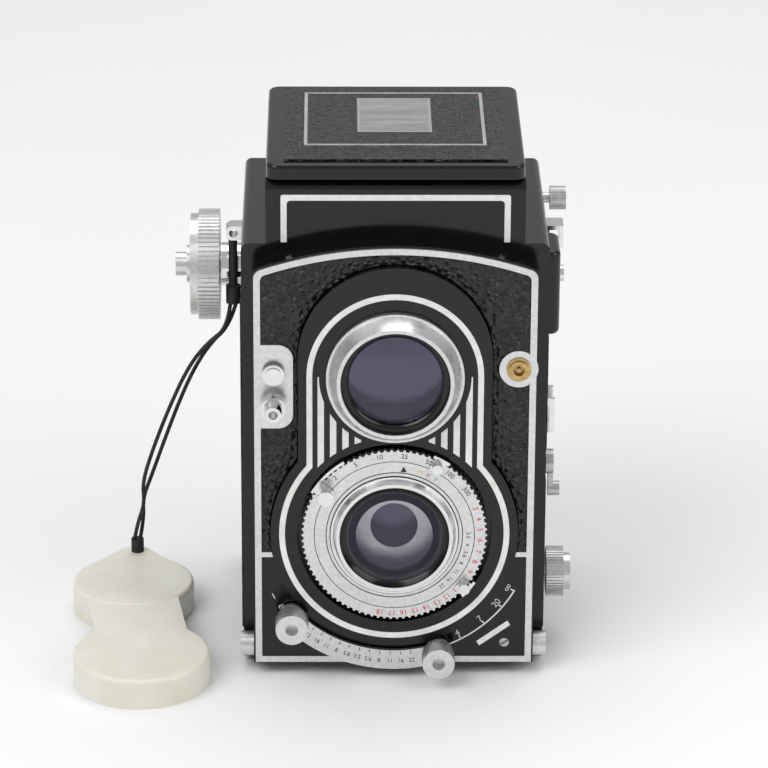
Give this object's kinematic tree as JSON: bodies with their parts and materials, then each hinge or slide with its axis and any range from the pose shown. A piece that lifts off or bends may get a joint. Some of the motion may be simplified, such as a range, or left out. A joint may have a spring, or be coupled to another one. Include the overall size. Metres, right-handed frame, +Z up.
{
  "type": "twin lens reflex camera",
  "caption": "Twin lens reflex camera with focusing lens board, folding finder hood, hinged film back, film transport and a tethered double lens cap",
  "frame": {"origin": "centre of the tripod socket mouth, on the plane that the camera stands on", "axes": "+Z up, -Y towards the subject (the front), +X to the right of a viewer who faces the front"},
  "size_m": [0.139, 0.1009, 0.1458],
  "materials": {
    "black_enamel": "gloss black enamel",
    "satin_silver": "satin bright aluminium",
    "chrome": "polished chrome",
    "leatherette": "black pebble grain leatherette",
    "white_paint": "white enamel inlay",
    "glass": "coated optical glass",
    "mirror": "front surface mirror",
    "steel": "brushed steel",
    "brass": "aged brass",
    "cord_black": "black woven cord",
    "milky_plastic": "milky translucent plastic",
    "ground_glass": "ground glass",
    "black_plastic": "black plastic"
  },
  "bodies": {
    "root": {"main_housing": "black_enamel", "tripod_socket": "chrome", "front_cover": "black_enamel", "front_trim": "satin_silver", "front_leather": "leatherette", "scale_plates": "black_enamel", "sync_socket": "brass", "side_leather": "leatherette", "side_fairing": "black_enamel", "strap_lugs": "chrome", "side_studs": "satin_silver", "film_gate": "black_enamel", "reflex_mirror": "mirror", "focusing_screen": "ground_glass", "hood_base": "black_enamel", "hinge_pins": "steel", "advance_bearing": "chrome", "lens_cap": "milky_plastic", "cord_knots": "cord_black", "cord_left": "cord_black", "cord_right": "cord_black"},
    "lens_unit": {"lens_board": "black_enamel", "board_stripes": "white_paint", "viewing_barrel": "black_enamel", "viewing_ring": "satin_silver", "viewing_glass": "glass", "shutter_housing": "black_enamel", "dial_plate": "satin_silver", "taking_ring": "chrome", "taking_glass": "glass", "aperture_blades": "steel"},
    "speed_ring": {"speed_ring": "satin_silver"},
    "cocking_lever": {"cocking_lever": "chrome"},
    "sync_lever": {"sync_lever": "chrome"},
    "aperture_lever": {"aperture_lever": "chrome"},
    "focus_lever": {"focus_lever": "satin_silver", "focus_knobs": "satin_silver"},
    "release_button": {"release_button": "chrome"},
    "top_button": {"top_button": "chrome"},
    "fairing_button": {"fairing_button": "chrome"},
    "advance_knob": {"advance_knob": "satin_silver"},
    "take_up_spool": {"take_up_spool": "steel"},
    "supply_spool": {"supply_spool": "black_plastic"},
    "lower_knob": {"lower_knob": "satin_silver"},
    "upper_knob": {"upper_knob": "satin_silver"},
    "side_lever": {"side_lever": "steel"},
    "lid": {"hood_lid": "black_enamel", "lid_leather": "leatherette", "finder_panel": "leatherette"},
    "leaf_left": {"leaf_left": "black_enamel"},
    "leaf_right": {"leaf_right": "black_enamel"},
    "leaf_front": {"leaf_front": "black_enamel"},
    "magnifier": {"magnifier_frame": "black_enamel", "magnifier_lens": "glass"},
    "door": {"back_door": "black_enamel", "back_leather": "leatherette", "pressure_plate": "steel"},
    "door_latch": {"door_latch": "chrome"},
    "upper_roller": {"upper_roller": "steel"},
    "lower_roller": {"lower_roller": "steel"}
  },
  "joints": [
    {"name": "focus_slide", "type": "slide", "parent": "root", "child": "lens_unit", "axis": [0, -1, 0], "range_m": [-0.002, 0.002]},
    {"name": "focus_swing", "type": "hinge", "parent": "root", "child": "focus_lever", "pos_m": [0, -0.0448, 0.0434], "axis": [0, 1, 0], "range_deg": [-20, 20]},
    {"name": "speed_turn", "type": "hinge", "parent": "lens_unit", "child": "speed_ring", "pos_m": [0, -0.0448, 0.0434], "axis": [0, 1, 0], "range_deg": [-60, 60]},
    {"name": "cocking_swing", "type": "hinge", "parent": "lens_unit", "child": "cocking_lever", "pos_m": [0, -0.0448, 0.0434], "axis": [0, 1, 0], "range_deg": [-45, 0]},
    {"name": "sync_swing", "type": "hinge", "parent": "lens_unit", "child": "sync_lever", "pos_m": [0, -0.0448, 0.0434], "axis": [0, 1, 0], "range_deg": [-12, 2]},
    {"name": "aperture_swing", "type": "hinge", "parent": "lens_unit", "child": "aperture_lever", "pos_m": [0, -0.0448, 0.0434], "axis": [0, 1, 0], "range_deg": [-35, 12]},
    {"name": "release_press", "type": "slide", "parent": "root", "child": "release_button", "axis": [0, 1, 0], "range_m": [0, 0.002], "stiffness_N_per_m": 60},
    {"name": "top_button_press", "type": "slide", "parent": "root", "child": "top_button", "axis": [0, 1, 0], "range_m": [0, 0.001], "stiffness_N_per_m": 60},
    {"name": "fairing_button_press", "type": "slide", "parent": "root", "child": "fairing_button", "axis": [-1, 0, 0], "range_m": [0, 0.0008], "stiffness_N_per_m": 60},
    {"name": "advance_turn", "type": "hinge", "parent": "root", "child": "advance_knob", "pos_m": [-0.05, 0.008, 0.101], "axis": [-1, 0, 0], "continuous": true},
    {"name": "take_up_turn", "type": "hinge", "parent": "root", "child": "take_up_spool", "pos_m": [0, 0.012, 0.09], "axis": [-1, 0, 0], "continuous": true},
    {"name": "supply_turn", "type": "hinge", "parent": "root", "child": "supply_spool", "pos_m": [0, -0.015, 0.0184], "axis": [1, 0, 0], "continuous": true},
    {"name": "lower_knob_pull", "type": "slide", "parent": "root", "child": "lower_knob", "axis": [1, 0, 0], "range_m": [0, 0.004]},
    {"name": "upper_knob_pull", "type": "slide", "parent": "root", "child": "upper_knob", "axis": [1, 0, 0], "range_m": [0, 0.003]},
    {"name": "side_lever_swing", "type": "hinge", "parent": "root", "child": "side_lever", "pos_m": [0.042, -0.027, 0.057], "axis": [1, 0, 0], "range_deg": [-25, 25]},
    {"name": "lid_open", "type": "hinge", "parent": "root", "child": "lid", "pos_m": [0, 0.034, 0.1407], "axis": [1, 0, 0], "range_deg": [-95, 0]},
    {"name": "leaf_left_fold", "type": "hinge", "parent": "root", "child": "leaf_left", "pos_m": [-0.0316, 0, 0.1353], "axis": [0, 1, 0], "range_deg": [-90.1, 0]},
    {"name": "leaf_right_fold", "type": "hinge", "parent": "root", "child": "leaf_right", "pos_m": [0.0316, 0, 0.1353], "axis": [0, -1, 0], "range_deg": [-90.1, 0]},
    {"name": "leaf_front_fold", "type": "hinge", "parent": "root", "child": "leaf_front", "pos_m": [0, -0.031, 0.1353], "axis": [-1, 0, 0], "range_deg": [-90.1, 0]},
    {"name": "magnifier_fold", "type": "hinge", "parent": "lid", "child": "magnifier", "pos_m": [0, -0.0294, 0.1416], "axis": [1, 0, 0], "range_deg": [-90.1, 0]},
    {"name": "door_open", "type": "hinge", "parent": "root", "child": "door", "pos_m": [0, 0.0356, 0.1216], "axis": [1, 0, 0], "range_deg": [0, 95]},
    {"name": "latch_slide", "type": "slide", "parent": "door", "child": "door_latch", "axis": [1, 0, 0], "range_m": [0, 0.004]},
    {"name": "upper_roller_turn", "type": "hinge", "parent": "root", "child": "upper_roller", "pos_m": [0, 0.0256, 0.0808], "axis": [1, 0, 0], "continuous": true},
    {"name": "lower_roller_turn", "type": "hinge", "parent": "root", "child": "lower_roller", "pos_m": [0, 0.0256, 0.007], "axis": [1, 0, 0], "continuous": true}
  ],
  "couplings": [
    {"joint": "focus_swing", "follows": "focus_slide", "rad_per_m": 174.53},
    {"joint": "take_up_turn", "follows": "advance_turn", "ratio": -1},
    {"joint": "leaf_left_fold", "follows": "lid_open", "ratio": 0.94737},
    {"joint": "leaf_right_fold", "follows": "lid_open", "ratio": 0.94737},
    {"joint": "leaf_front_fold", "follows": "lid_open", "ratio": 0.94737},
    {"joint": "magnifier_fold", "follows": "lid_open", "ratio": 0.94737}
  ]
}
